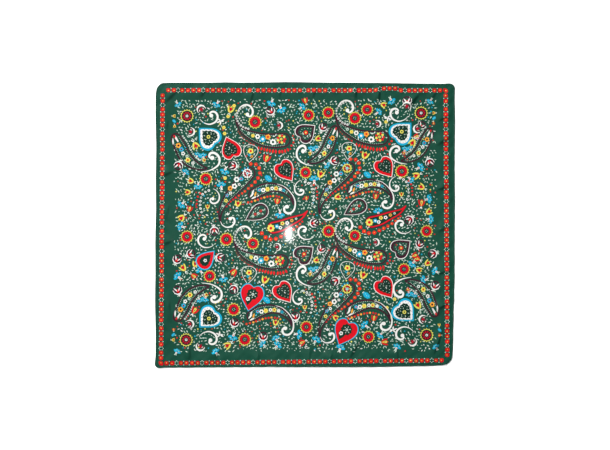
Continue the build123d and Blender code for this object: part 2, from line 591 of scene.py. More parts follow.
def leaning_paisley(spot, head_ring="white"):
    """A body that leans from its head at the upper right down to a small white scroll."""
    spine = [(-75, -82), (-92, -102), (-108, -120), (-124, -139), (-136, -158), (-142, -174), (-143, -190)]
    paisley(spot, spine + [(-138, -202)], (15.5, 15, 13.5, 11, 8.0, 5.2, 2.8, 1.2))
    spot.petals("blue", -79, -82, (85, 117, 149), 6.5, 4.5, 9.5)
    star_flower(spot.at(-79, -82), head_ring, "mint" if head_ring == "yellow" else "white")
    florets(spot, (
        (-93, -95, "blue", "red", 5.0, 6), (-104, -96, "white", "ground", 6.4, 6),
        (-98, -108, "white", "aubergine", 3.2, 5), (-109, -112, "white", "ground", 6.2, 5),
        (-119, -117, "amber", "wine", 5.6, 5), (-118, -128, "white", "ground", 3.6, 5),
        (-126, -134, "blue", "red", 4.0, 5), (-129, -146, "yellow", "wine", 4.2, 5),
        (-136, -158, "mint", "ground", 2.8, 5),
    ))
    string = [(-71, -60), (-57, -62), (-50, -74), (-51, -87), (-60, -101), (-74, -115), (-90, -128), (-105, -138)]
    string += [(-119, -149), (-130, -163)]
    beads(spot, string, (8.6, 8.8, 8.2, 7.0, 5.6, 4.4, 3.2), ("red", "red", "scarlet"), 3.2)
    hook = [(-117, -185), (-111, -187), (-109, -196), (-115, -205), (-127, -208), (-137, -203), (-142, -194)]
    spot.stroke("white", hook, (1.7, 2.2, 2.3, 1.9, 1.4, 0.9, 0.5))
    spot.dot("white", -119, -188, 4.1, 12)
    spot.petals("white", -124, -180, (60, 100, 140), 7.5, 2.4, fine=True)


def arched_paisley(spot):
    """A head at the left and an arched back that turns into a white hook, with beads beneath."""
    spine = [(-64, -131), (-46, -121), (-24, -115), (-3, -118), (14, -128), (25, -142), (29, -156)]
    paisley(spot, spine, (13.5, 14, 11.5, 9, 6.5, 4.0, 1.6))
    for u, v, turn in ((-73, -138, 48), (-70, -142, 28), (-69, -132, 66)):
        spot.petals("white", u, v, (turn,), 14, 3.8)
    spot.petals("amber", -62, -137, (75,), 13, 4.2)
    florets(spot, (
        (-51, -121, "blue", "red", 4.4, 5), (-42, -121, "white", "ground", 5.2, 6),
        (-32, -119, "yellow", "amber", 5.4, 6), (-21, -117, "white", "ground", 4.2, 5),
        (-12, -117, "yellow", "red", 5.0, 5), (-2, -119, "white", "mint", 4.0, 5),
        (6, -122, "blue", "ground", 3.4, 5),
    ))
    string = [(-77, -150), (-61, -146), (-45, -140), (-28, -136), (-12, -135), (2, -139)]
    beads(spot, string, (5.6, 5.2, 4.4), ("red", "red", "amber"), 2.2)
    hook = [(13, -157), (7, -164), (10, -173), (21, -175), (30, -167), (33, -153), (30, -139), (20, -124)]
    spot.stroke("white", hook + [(6, -112), (-9, -107)], (1.9, 2.4, 2.5, 2.3, 1.9, 1.5, 1.1, 0.9, 0.7, 0.5))
    spot.dot("white", 14, -160, 4.3, 12)


def red_paisley(spot):
    """A small body in a red rim, from a round head at the lower left to a point at the upper right."""
    path = curve([(-18, -209), (1, -204), (21, -195), (40, -187), (52, -180), (62, -169)])
    spot.draw("aubergine", band(path, along(path, (16, 15.5, 12.5, 9, 5.2, 1.4)), 9))
    spot.draw("red", band(path, along(path, (13.5, 13, 10.5, 7.4, 4.0, 0.9)), 9))
    inner = path[:25]
    spot.draw("deep", band(inner, along(inner, (10.6, 10, 7.4, 4.4, 1.0)), 9))
    florets(spot, (
        (-24, -210, "yellow", "red", 8.6, 8), (-10, -206, "blue", "white", 5.0, 5),
        (-2, -209, "white", "ground", 4.2, 5), (3, -199, "yellow", "red", 4.6, 5),
        (14, -198, "white", "wine", 4.4, 5), (25, -192, "amber", "ground", 3.8, 5),
        (35, -188, "mint", "ground", 2.8, 5),
    ))
    string = [(-45, -222), (-33, -234), (-17, -236), (-3, -231), (14, -222), (29, -213), (41, -203), (52, -192)]
    beads(spot, string, (9.4, 9.8, 9.2, 8.0, 6.4, 4.2), ("red", "scarlet"), 3.0)


def vine(spot):
    """A small scroll beside a hanging chain of rings and a string of red dots."""
    scroll(spot.at(0, 0, 170, 0.82), 280)
    lace(spot, [(-10, 19), (-22, 13), (-28, 2), (-30, -12), (-29, -26), (-24, -38)], 8.6, 3.0)
    beads(spot, [(-30, 12), (-37, 2), (-38, -10), (-39, -22)], (5.2, 4.6, 4.0), ("red",), 3.6)
    tulip(spot.at(-13, -19, 90, 0.7))


def field_repeat(x, y, heart=True, leaning=True, red_body=True, turn=0.0, tall=1.0, head=(0, 0)):
    """The repeat as it falls at (x, y), with the parts that this copy has.

    The cloth is pulled a little out of square, so a copy may be turned or less tall, or lean less at its head.
    """
    spot = SCARF.at(x, y, mirror=(1, tall))
    long_paisley(SCARF.at(x, y, turn))
    if heart:
        dark_heart(spot.at(60 - head[0] / 2, 15 + head[0] / 2, 38))
    if leaning:
        leaning_paisley(spot.at(*head), "yellow" if head[0] else "white")
    arched_paisley(spot)
    if red_body:
        red_paisley(spot)
        dark_drop(spot.at(-58, -176, 211))
    crescent_bud(spot.at(-5, 30, 190))
    pale_drop(spot.at(-72, -36, 262))
    tulip(spot.at(-34, -47, 70, 1.2))
    red_heart(spot.at(11 + head[0], -78, 304))
    blue_drop(spot.at(-30 + head[0] / 2, -94, 320))
    tulip(spot.at(-9, -147, 80, 0.95))
    bud(spot.at(98, 26, 60, 0.95))
    tulip(spot.at(86, -1, 20, 0.95))


def shoe_paisley(spot):
    """A dark slipper of a body that ends in a white scroll, with a line of lace beside it."""
    spine = [(-26, 52), (-17, 70), (-7, 91), (8, 108), (28, 119), (48, 123)]
    paisley(spot, spine, (12.5, 14.5, 15, 13, 8.5, 2.4))
    for u, v, turn in ((-30, 48, 50), (-27, 46, 70), (-33, 51, 88)):
        spot.petals("white", u, v, (turn,), 17, 3.6)
    spot.petals("red", -31, 44, (66,), 8, 4.4)
    florets(spot, (
        (-20, 69, "amber", "aubergine", 6.0, 5), (-13, 78, "blue", "wine", 5.4, 5),
        (-9, 88, "white", "ground", 4.4, 5), (0, 94, "mint", "ground", 3.6, 5),
        (2, 103, "yellow", "red", 6.0, 6), (14, 110, "white", "ground", 3.8, 5),
    ))
    hook = [(57, 99), (52, 95), (54, 88), (62, 86), (71, 91), (76, 101), (74, 113), (64, 122)]
    spot.stroke("white", hook + [(50, 128), (32, 131)], (1.8, 2.4, 2.7, 2.7, 2.4, 1.9, 1.2, 0.5), 4)
    spot.dot("white", 59, 98, 4.9, 14)
    lace(spot, [(-10, 47), (1, 62), (9, 79), (18, 93), (32, 103), (46, 107)], 5.4, 1.9)
    bell(spot.at(37, 93, 250, 0.95))
    bell(spot.at(25, 91, 300, 0.85))
    tulip(spot.at(40, 103, 30, 0.6))


def corner_group(x, y, mirror, heart_at, shoe_at, shoe_size=(1.0, 1.0)):
    """The group in each corner. +u and +v point to the middle of the scarf."""
    spot = SCARF.at(x, y, mirror=mirror)
    corner_flower(spot)
    crescent_bud(spot.at(33, -16, 60, 1.15))
    bell(spot.at(-21, -27, 60, 0.9))
    bell(spot.at(69, -27, 120))
    scroll(spot.at(57, 0, 225, 0.98))
    fleur(spot.at(79, 12, 160))
    shoe_paisley(spot.at(*shoe_at, mirror=shoe_size))
    pale_heart(spot.at(*heart_at, 225))
    crescent_bud(spot.at(9, 37, 200, 1.1))
    tulip(spot.at(20, 69, 60, 1.15))
    bud(spot.at(-20, 116, 110))
    tulip(spot.at(-30, 0, 0, 0.5))
    blue_drop(spot.at(-30, 12, 40, 0.5))
    tulip(spot.at(-29, 24, 90, 0.45))


def lay_groups():
    field_repeat(-55, 202)
    field_repeat(175, 207, heart=False, turn=-3.6, tall=0.96, head=(3, 4))
    field_repeat(171, -71, red_body=False, turn=-5.5, head=(7, 3))
    field_repeat(-59, -82, leaning=False, red_body=False)
    corner_group(-275, 254, (1, -1), (48, 48), (0, 0))
    corner_group(272, 261, (-1, -1), (43, 43), (4.3, -2.3), (0.90, 0.93))
    corner_group(285, -258, (-1, 1), (50, 53), (6, 0.5), (0.94, 1.03))
    corner_group(-277, -269, (1, 1), (51, 49), (7, 2))
    for y in (268, -14):
        shoe_paisley(SCARF.at(50, y).at(-2.6, 5.8, mirror=(-0.87, -1.04)))
    big_heart(SCARF.at(-125, -171, 257))
    big_heart(SCARF.at(93, -253, 245))
    leaf_heart(SCARF.at(-229, -80, 46))
    red_heart(SCARF.at(-174, 181, 111))
    vine(SCARF.at(-214, 61))
    for x, y in ((-9, 81), (213, 90), (-13, -174)):
        vine(SCARF.at(x, y, mirror=(-1, 1)))


# Where the single motifs lie, in millimetres from the middle.
FLOWERS = (
    (-116, 240), (117, 249), (117, -26), (-121, -44),
    (-275, -28), (285, -15), (-231, 107), (2, 122), (9, 256), (55, 262), (146, 269), (227, 125), (56, -15),
    (-183, -34), (-222, -120), (-166, -198), (-140, -268), (4, -239), (232, -104), (149, -262),
)
BUDS = (
    (-80, 266), (-168, 138), (70, 150), (244, 11), (22, 4), (-298, -81), (-266, -68), (-197, -77), (-166, -151),
    (-164, -229), (-97, -261), (-22, -214), (-211, -15), (71, -132), (299, -68), (239, 289),
)
TULIPS = (
    (-173, 269), (-266, 102), (-273, 76), (-269, 37), (-288, 16), (-156, 49), (261, 115), (273, 88), (273, 51),
    (290, 30), (77, 65), (37, 118), (-284, -101), (-256, -92), (-259, -120), (-180, -282), (-6, -275),
    (-166, -111), (262, -79), (287, -90), (267, -106), (187, -274), (72, -217), (184, 280), (1, 290),
)
BELLS = (
    (-249, 90), (-187, 125), (-195, 93), (-58, 23), (-288, 47), (-290, -3), (-278, 123), (-78, 284), (-54, 269),
    (-6, 276), (173, 264), (171, 32), (290, 60), (248, 104), (294, 13), (22, 107), (270, 135), (52, 139),
    (-297, -120), (-245, -106), (-190, -127), (-168, -263), (-68, -265), (-14, -256), (-98, -279), (-63, -281),
    (304, -108), (251, -92), (176, -258), (84, -287), (27, -269), (278, -129), (140, -234),
)
SCROLLS = ((-235, -34, 30), (226, -1, 30), (-1, -15, 30))
DOTS = (
    (-189, 227), (-187, 213), (190, 240), (210, -174), (199, -217), (192, -194), (-179, 253), (-165, 278),
    (-186, 109),
)


def lay_singles():
    for x, y in FLOWERS:
        ring_flower(SCARF.at(x, y, chance.uniform(0, 360), chance.uniform(0.92, 1.04)))
    for x, y in BUDS:
        bud(SCARF.at(x, y, chance.uniform(0, 360)))
    for x, y in TULIPS:
        tulip(SCARF.at(x, y, chance.uniform(0, 360), chance.uniform(0.9, 1.15)))
    for x, y in BELLS:
        bell(SCARF.at(x, y, chance.uniform(0, 360), chance.uniform(0.95, 1.2)))
    for x, y, turn in SCROLLS:
        scroll(SCARF.at(x, y, turn, 0.92))
    for x, y in DOTS:
        floret(SCARF.at(x, y), "yellow", "amber", 4.2, 6)


# The border: strings of four beads, with a cluster of pale dots in each gap.
BORDER = ((-331.5, 314), (329, 313.5), (333, -316.5), (-335.5, -323.5))  # its corners, from far left to near left
STRINGS = 10  # along each side
BEADS_PER_STRING = 4
BEAD_PITCH = (13.1, 12.4, 13.1, 12.4)  # one for each side
PALE_DOT = 1.35  # a dot's radius
DOTS_AT_GAP = ((-3.2, 2.6), (3.2, 2.6), (-3.2, -2.6), (3.2, -2.6), (0, 5.0), (0, -5.0))
DOTS_AT_BEADS = ((0, -4.4), (0, 4.4))


def bead(spot):
    """A squarish red bead with an amber eye, slightly off centre."""
    size = chance.uniform(0.94, 1.04)
    spot.draw("red", scallops(5.1 * size, 4, 0.3))
    spot.dot(chance.choice(("yellow", "amber")), chance.uniform(-0.7, 0.7), chance.uniform(-0.7, 0.7), 1.5, 6)


def lay_border():
    for k, pitch in enumerate(BEAD_PITCH):
        start = np.array(BORDER[k], float)
        end = np.array(BORDER[(k + 1) % 4], float)
        length = float(np.linalg.norm(end - start))
        side = SCARF.at(*start, math.degrees(math.atan2(*(end - start)[::-1])))
        string = (BEADS_PER_STRING - 1) * pitch
        gap = (length - 4 * pitch - STRINGS * string) / (STRINGS + 1)
        places = [pitch, 2 * pitch]
        for group in range(STRINGS):
            first = 2 * pitch + gap + group * (string + gap)
            places += [first + j * pitch for j in range(BEADS_PER_STRING)]
        places += [length - 2 * pitch, length - pitch]
        if k % 2:
            bead(side.at(0, 0, 45, mirror=(1.25, 0.9)))
        for u in places:
            bead(side.at(u, 0, 45))
        for a, b in zip(places[:-1], places[1:]):
            for u, v in DOTS_AT_BEADS if b - a < 1.2 * pitch else DOTS_AT_GAP:
                side.fleck((a + b) / 2 + u, v, PALE_DOT)


# The filling: small pale leaves and specks wherever the ground is bare.
FIELD = ((-308, -300), (311, 300))  # its near left and far right corners
CELL = 1.5  # of the grid on which bare ground is looked for
SPECK_PITCH = 7.6
SPECK_HALF_WIDTH = 1.2  # the bare ground that a speck needs on each side
THIN_OUT = 22.0  # the specks grow sparse this near to the field's rim


def inside(outline, xs, ys):
    """Which grid points lie in the outline, by counting crossings."""
    hit = np.zeros((len(ys), len(xs)), bool)
    px, py = np.meshgrid(xs, ys)
    for (x1, y1), (x2, y2) in zip(outline, np.roll(outline, -1, 0)):
        if y1 == y2:
            continue
        crosses = (py < y1) != (py < y2)
        hit ^= crosses & (px < (x2 - x1) * (py - y1) / (y2 - y1) + x1)
    return hit


def bare_ground():
    """A grid over the field that is true where no dye has been printed on the ground."""
    xs = np.arange(FIELD[0][0], FIELD[1][0], CELL)
    ys = np.arange(FIELD[0][1], FIELD[1][1], CELL)
    bare = np.ones((len(ys), len(xs)), bool)
    for dye, outline, _ in PRINT:
        low = np.floor((outline.min(0) - FIELD[0]) / CELL).astype(int).clip(0)
        high = np.ceil((outline.max(0) - FIELD[0]) / CELL).astype(int) + 1
        block = (slice(low[1], max(high[1], 0)), slice(low[0], max(high[0], 0)))
        if bare[block].size:
            bare[block][inside(outline, xs[block[1]], ys[block[0]])] = dye == "ground"
    return bare


def has_room(bare, spot, length):
    """Whether a speck of this length would lie on bare ground."""
    half = length / 2
    ends = spot.to_cloth([(-half, 0), (0, SPECK_HALF_WIDTH), (0, -SPECK_HALF_WIDTH), (half, 0)])
    cells = np.floor((ends - FIELD[0]) / CELL).astype(int)
    if (cells < 1).any() or (cells >= np.array(bare.shape[::-1]) - 1).any():
        return False
    return bare[cells[:, 1], cells[:, 0]].all()


def speck(spot, kind, length):
    """A small leaf, a pair of leaves, a pale dot or a coloured one, as kind runs from 0 to 1."""
    dye = "mint" if chance.random() < 0.86 else "white"
    if kind < 0.62:
        half = chance.uniform(0.9, 1.6)
        spot.draw(dye, [(-length / 2, 0), (-0.2, -half), (length / 2, 0), (-0.2, half)], True)
    elif kind < 0.74:
        spot.petals(dye, -length / 2, 0, (-38, 38), 0.8 * length, 2.0, fine=True, steps=2)
    elif kind < 0.86:
        spot.fleck(0, 0, chance.uniform(0.8, 1.3))
    else:
        dye = chance.choice(("red", "yellow", "blue", "red"))
        spot.dot(dye, 0, 0, chance.uniform(1.2, 2.0), 6, True)


def lay_specks():
    bare = bare_ground()
    (left, near), (right, far) = FIELD
    for row in range(int((far - near) / SPECK_PITCH)):
        for column in range(int((right - left) / SPECK_PITCH)):
            x = left + (column + 0.5 * (row % 2) + chance.uniform(0.1, 0.7)) * SPECK_PITCH
            y = near + (row + chance.uniform(0.15, 0.85)) * SPECK_PITCH
            flow = 90 * math.sin(x / 41 + y / 73) + 90 * math.cos(y / 37 - x / 90) + chance.uniform(-55, 55)
            length = chance.uniform(3.6, 8.6)
            kind = chance.random()
            spot = SCARF.at(x, y, flow)
            crowded = chance.random() > 0.35 + min(x - left, right - x, y - near, far - y) / THIN_OUT
            if not crowded and has_room(bare, spot, length):
                speck(spot, kind, length)


def print_cloth():
    lay_border()
    lay_singles()
    lay_groups()
    lay_specks()


# ---- How the cloth lies ----

# Each fold: its middle in millimetres, the way it runs in degrees, its length, and how far the cloth drops
# on its right-hand side. The cloth climbs slowly to a fold and falls away steeply.
FOLDS = (
    (-125, 301, 250, 26, 3.6), (117, 308, 268, 24, 4.2), (172, 304, 262, 30, 4.8), (251, 289, 232, 36, 4.8),
    (20, 309, 255, 20, 2.5), (-240, 306, 240, 22, 2.8), (-320, 122, 205, 22, 3.6), (-324, 232, 262, 26, 3.4),
    (-322, -40, 200, 22, 2.8), (-318, -196, 275, 44, 3.4), (-271, -300, 272, 30, 4.2), (-207, -300, 258, 26, 3.9),
    (-110, -306, 276, 22, 2.8), (10, -304, 262, 24, 2.5), (117, -286, 240, 46, 4.5), (214, -303, 278, 26, 3.4),
    (309, -276, 250, 46, 4.5), (322, -110, 190, 24, 3.6), (324, -8, 205, 22, 3.1), (322, 88, 196, 24, 3.9),
    (320, 196, 214, 28, 3.6), (300, 304, 235, 22, 2.8), (-314, 300, 225, 26, 3.6), (-60, 304, 262, 20, 2.2),
    (322, 250, 205, 22, 3.4), (318, -190, 212, 26, 3.6), (-322, 30, 262, 26, 2.8), (60, -306, 250, 18, 2.8),
)
FOLD_CLIMB = 20.0  # how far a fold takes to climb
FOLD_DROP = 6.5  # and to fall

# The cloth between the folds, in millimetres.
LIFT = 1.95  # its mean height where it is loose
WAVES = 0.80  # the height of the short waves
ROLLS = 0.54  # and of the long slanting ones
PUCKER = 0.18  # how much the seam puckers the hem
SLACK_REACH = 50.0  # it is loose this far in from the hem
STILL_INSET = 250.0  # and lies still inside this one

# How far it has crept out of its true square.
CREEP_REACH = 40.0  # only the cloth this near to an edge has moved
# Each corner's pull: which corner, how far the pull reaches, and how far it moves the corner to the right and up.
CORNER_PULLS = ((1, -1, 24, -4.5, 4.5), (-1, -1, 16, -3.6, -2.4), (-1, 1, 17, 4.4, -2.2), (1, 1, 16, 1.2, 1.2))


def ease(value):
    """0 below 0, 1 above 1, and smooth between."""
    value = np.clip(value, 0, 1)
    return value * value * (3 - 2 * value)


def bump(value, middle, width):
    """1 in the middle, and fading away on both sides."""
    return np.exp(-(((value - middle) / width) ** 2))


def across_fold(x, y, fold_x, fold_y, heading):
    """Where places are as seen from a fold: how far along it, and how far to its left."""
    c, s = math.cos(math.radians(heading)), math.sin(math.radians(heading))
    return (x - fold_x) * c + (y - fold_y) * s, (y - fold_y) * c - (x - fold_x) * s


def lie(x, y):
    """How far the table side of the cloth is above the table, in millimetres."""
    inset = np.minimum(HALF_X - np.abs(x), HALF_Y - np.abs(y))
    loose = ease(1 - (inset - 6) / SLACK_REACH) * (0.35 + 0.65 * ease(inset / 16))
    loose = loose + 0.16 * ease((STILL_INSET - inset) / 120)
    waves = np.sin(x / 4.6 + 1.6 * np.sin(y / 19)) * np.sin(y / 5.2 + 1.4 * np.sin(x / 15))
    rolls = np.sin((x + 0.7 * y) / 6.8 + 1.5 * np.sin(y / 27)) + np.sin((y - 0.4 * x) / 7.7 + 1.3 * np.sin(x / 31))
    height = loose * (LIFT + WAVES * waves + ROLLS * rolls)
    for fold_x, fold_y, heading, length, fall in FOLDS:
        run, left = across_fold(x, y, fold_x, fold_y, heading)
        slope = ease(1 + left / FOLD_CLIMB) * ease(1 - left / FOLD_DROP)
        height = height + fall * slope * bump(run, 0, length / 2)
    pucker = 0.5 + 0.5 * np.sin((x + y) / 1.9 + 2.0 * np.sin((x - y) / 11.0))
    return height + PUCKER * pucker * ease(1 - inset / 9)


def drift(x, y):
    """How far the cloth has crept from its true square, in millimetres. It fades out towards the border print."""
    left, right = ease(1 - (HALF_X + x) / CREEP_REACH), ease(1 - (HALF_X - x) / CREEP_REACH)
    near, far = ease(1 - (HALF_Y + y) / CREEP_REACH), ease(1 - (HALF_Y - y) / CREEP_REACH)
    shift_x = left * (1.7 + 0.9 * np.sin(y / 90) + 0.4 * np.sin(y / 23))
    shift_x = shift_x + right * (0.4 - 4.2 * ease((-y - 60) / 260) + 0.3 * np.sin(y / 30))
    shift_y = far * (-0.6 + 1.3 * bump(x, -35, 70) + 0.7 * bump(x, -185, 25) - 2.4 * ease((x - 90) / 240))
    shift_y = shift_y + near * (-1.3 + 1.2 * ease((x + 330) / 240) + 3.2 * ease((x - 120) / 210))
    for end_x, end_y, reach, pull_x, pull_y in CORNER_PULLS:
        nearness = np.exp(-((x - end_x * HALF_X) ** 2 + (y - end_y * HALF_Y) ** 2) / reach**2)
        shift_x = shift_x + pull_x * nearness
        shift_y = shift_y + pull_y * nearness
    return shift_x, shift_y


def tuck(x, y):
    """A shallow tuck just inside the far edge, which carries a few beads of the border with it."""
    return 4.6 * ease((x - 160) / 24) * ease((224 - x) / 8) * ease((y - 285) / 22) * ease((331 - y) / 14)


def unlaid(points):
    """Takes places on the lying cloth back to the flat cloth, before the tuck."""
    flat = points
    for _ in range(3):
        flat = points - np.stack(drift(flat[:, 0], flat[:, 1]), 1)
    return flat


def lay_out(flat, height):
    """Takes points of the flat cloth, and heights above its table side, to where they lie, in metres."""
    x, y = flat[:, 0], flat[:, 1]
    shift_x, shift_y = drift(x, y)
    return np.stack([x + shift_x, y + shift_y + tuck(x, y), lie(x, y) + height], 1) * MM


def upwards(flat):
    """The unit normals of the lying cloth."""
    x, y = flat[:, 0], flat[:, 1]
    step = 0.5
    slope_x = (lie(x + step, y) - lie(x - step, y)) / (2 * step)
    slope_y = (lie(x, y + step) - lie(x, y - step)) / (2 * step)
    normal = np.stack([-slope_x, -slope_y, np.ones_like(x)], 1)
    return normal / np.linalg.norm(normal, axis=1)[:, None]


# ---- The finished edge ----


def side_stations(side):
    """Points and outward directions along one side's corner-to-corner line, at the corner arcs' centres."""
    turn = math.radians(90 * SIDES.index(side))
    length, reach = (WIDTH, HALF_Y) if side in ("far", "near") else (DEPTH, HALF_X)
    half = length / 2 - CORNER_RADIUS
    reach -= CORNER_RADIUS
    straight = np.linspace(half, -half, int(2 * half / EDGE_STEP) + 1)[1:-1]
    arc = [9 * k for k in range(6)]  # half of a corner, in degrees
    centres = [(half, reach)] * len(arc) + [(u, reach) for u in straight] + [(-half, reach)] * len(arc)
    angles = [45 + angle for angle in arc] + [90] * len(straight) + [90 + angle for angle in arc]
    c, s = math.cos(turn), math.sin(turn)
    centres = np.array(centres) @ np.array([[c, -s], [s, c]]).T
    outward = np.radians(np.array(angles, float)) + turn
    return centres, np.stack([np.cos(outward), np.sin(outward)], 1)


def at_inset(side, inset):
    centres, outward = side_stations(side)
    return centres + outward * (CORNER_RADIUS - inset)


def ring_at(inset):
    """The closed line all round the scarf at one inset."""
    return np.concatenate([at_inset(side, inset)[:-1] for side in SIDES])


def layer_height(inset):
    """The middle of the cloth's top layer, as it climbs from the panel onto the hem."""
    share = ease((RISE_START_INSET - inset) / (RISE_START_INSET - RISE_END_INSET))
    return PANEL_LAYER + (TOP_LAYER - PANEL_LAYER) * share


def inset_of(flat):
    """How far points are inside the finished edge."""
    over = np.abs(flat) - (HALF_X - CORNER_RADIUS, HALF_Y - CORNER_RADIUS)
    round_part = np.linalg.norm(np.maximum(over, 0), axis=1)
    return CORNER_RADIUS - np.where((over > 0).all(1), round_part, over.max(1))


# ---- Pieces ----

GRID_STEP = 6.0
GRID_INSET = 9.0  # the grid begins this far inside the finished edge
CLIMB_INSETS = (RISE_END_INSET, 5.3, 5.85, 6.4, RISE_START_INSET)  # where the cloth climbs onto the hem


def grid_points():
    """Rows of points, every other row shifted, with which the cloth can bend between the outlines."""
    points = []
    reach_x, reach_y = HALF_X - GRID_INSET, HALF_Y - GRID_INSET
    rows = int(2 * reach_y / (GRID_STEP * 0.87))
    for row in range(rows + 1):
        y = -reach_y + 2 * reach_y * row / rows
        columns = int(2 * reach_x / GRID_STEP) - row % 2
        points += [(-reach_x + 2 * reach_x * column / columns, y) for column in range(columns + 1)]
    for fold_x, fold_y, heading, length, _ in FOLDS:
        c, s = math.cos(math.radians(heading)), math.sin(math.radians(heading))
        for run in np.arange(-0.9 * length, 0.9 * length, 3.5):
            for left in np.arange(-2.0, FOLD_DROP + 2.1, 1.5):
                points.append((fold_x + run * c - left * s, fold_y + run * s + left * c))
    points = np.array(points)
    return points[inset_of(points) > RISE_START_INSET + 1]


def cut_along_print(with_fine):
    """Triangulates the panel along the outlines. Returns its points, its triangles and the dye of each."""
    points, edges, faces, dyes = [], [], [], []
    boundary = ring_at(PRINT_INSET)
    points.extend(boundary)
    faces.append(list(range(len(boundary))))
    dyes.append("ground")
    for inset in CLIMB_INSETS:
        first = len(points)
        ring = ring_at(inset)
        points.extend(ring)
        edges.extend((first + k, first + (k + 1) % len(ring)) for k in range(len(ring)))
    for dye, outline, fine in PRINT:
        if fine and not with_fine:
            continue
        outline = unlaid(outline)
        x, y = outline[:, 0], outline[:, 1]
        if (x * np.roll(y, -1) - y * np.roll(x, -1)).sum() < 0:
            outline = outline[::-1]
        first = len(points)
        points.extend(outline)
        faces.append(list(range(first, first + len(outline))))
        dyes.append(dye)
    points.extend(grid_points())
    result = delaunay_2d_cdt([Vector(p) for p in points], edges, faces, 0, 1e-4, True)
    flat = np.array([tuple(p) for p in result[0]])
    triangles, slots = [], []
    names = list(DYES)
    for triangle, owners in zip(result[2], result[5]):
        if owners:
            triangles.append(triangle)
            slots.append(names.index(dyes[max(owners)]))
    return flat, triangles, slots


def new_piece(name, points, faces, materials, slots=None):
    """A piece that rides on the scarf's one body."""
    mesh = bpy.data.meshes.new(name)
    mesh.from_pydata([tuple(p) for p in points], [], faces)
    for material in materials:
        mesh.materials.append(material)
    if slots is not None:
        mesh.polygons.foreach_set("material_index", slots)
    mesh.update()
    piece = bpy.data.objects.new(name, mesh)
    bpy.context.scene.collection.objects.link(piece)
    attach(piece, "root")
    return piece


def loop_of(triangles):
    """The boundary edges of a set of triangles."""
    seen = set()
    for triangle in triangles:
        for a, b in zip(triangle, triangle[1:] + triangle[:1]):
            if (b, a) in seen:
                seen.remove((b, a))
            else:
                seen.add((a, b))
    return seen


def make_panel(dyed, reverse):
    """The printed face, the paler reverse that the larger shapes show through to, and the thin rim between."""
    face, face_triangles, face_slots = cut_along_print(True)
    back, back_triangles, back_slots = cut_along_print(False)
    face_height = layer_height(inset_of(face)) + CLOTH / 2
    back_height = layer_height(inset_of(back)) - CLOTH / 2
    points = np.concatenate([lay_out(face, face_height), lay_out(back, back_height)])
    normals = np.concatenate([upwards(face), -upwards(back)])
    offset = len(face)
    faces = [tuple(t) for t in face_triangles]
    faces += [tuple(offset + i for i in reversed(t)) for t in back_triangles]
    slots = face_slots + [len(DYES) + s for s in back_slots]
    partner = {tuple(np.round(back[i], 3)): offset + i for i in {i for e in loop_of(back_triangles) for i in e}}
    for a, b in sorted(loop_of(face_triangles)):
        below_a, below_b = partner[tuple(np.round(face[a], 3))], partner[tuple(np.round(face[b], 3))]
        faces.append((b, a, below_a, below_b))
        slots.append(0)
    panel = new_piece("printed_panel", points, faces, dyed + reverse, slots)
    panel.data.shade_smooth()
    panel.data.normals_split_custom_set_from_vertices([tuple(n) for n in normals])
    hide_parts("satin_panel")
    return panel


def fold_round(fold, middle, radius, angles):
    """The bent part of a fold: rows of (inset, height) and the direction out of the cloth's printed face."""
    return [
        (fold + radius * math.cos(a), middle + radius * math.sin(a), math.cos(a), math.sin(a)) for a in angles
    ]


def hem_section():
    """The folded cloth's middle line as (inset, height) and the direction out of its printed face."""
    outer, inner = 0.98 * (TOP_LAYER - UNDER_LAYER) / 2, 0.98 * (CUT_LAYER - UNDER_LAYER) / 2
    line = [(inset, TOP_LAYER, 0, 1) for inset in (PRINT_INSET, SEAM_INSET, 2.2, 1.2)]
    turn = np.linspace(0.5, 1.5, 9) * math.pi
    line += fold_round(outer + CLOTH / 2, (TOP_LAYER + UNDER_LAYER) / 2, outer, turn)
    line += [(inset, UNDER_LAYER, 0, -1) for inset in (1.2, 2.2, SEAM_INSET)]
    turn = np.linspace(-0.5, 0.5, 6) * math.pi
    line += fold_round(HEM_WIDTH - inner, (CUT_LAYER + UNDER_LAYER) / 2, inner, turn)
    line += [(inset, CUT_LAYER, 0, 1) for inset in (2.6, 1.7, CUT_EDGE_INSET)]
    return np.array(line, float)


def make_hem(side, material):
    """One side's fold as a closed strip: a ring of points round the folded cloth at every station."""
    section = hem_section()
    outer = section[:, :2] + section[:, 2:] * CLOTH / 2
    inner = section[:, :2] - section[:, 2:] * CLOTH / 2
    ring = np.concatenate([outer, inner[::-1]])
    centres, outward = side_stations(side)
    flat, heights = [], []
    for centre, out in zip(centres, outward):
        flat.extend(centre + out * (CORNER_RADIUS - inset) for inset, height in ring)
        heights.extend(height for inset, height in ring)
    count, stations = len(ring), len(centres)
    faces = []
    for k in range(stations - 1):
        for j in range(count):
            a, b = k * count + j, k * count + (j + 1) % count
            faces.append((a, b, b + count, a + count))
    half = count // 2
    for base, flip in ((0, False), ((stations - 1) * count, True)):
        for j in range(half - 1):
            end = (base + j, base + count - 1 - j, base + count - 2 - j, base + j + 1)
            faces.append(end[::-1] if flip else end)
    hem = new_piece(f"hem_fold_{side}", lay_out(np.array(flat), np.array(heights)), faces, [material])
    hem.data.shade_smooth()
    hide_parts(f"hem_{side}")
    return hem


STITCH = 2.9  # from one needle hole to the next
STITCH_GAP = 0.03  # the share of a stitch that is lost in each hole
STITCH_SIDES = 6
STITCH_DIP = 0.16  # how far its ends sink into the hole
# A stitch from hole to hole: how far along, how thick, and how much of the dip.
STITCH_PROFILE = ((0.0, 0.35, 1.0), (0.12, 0.9, 0.3), (0.5, 1.0, 0.0), (0.88, 0.9, 0.3), (1.0, 0.35, 1.0))


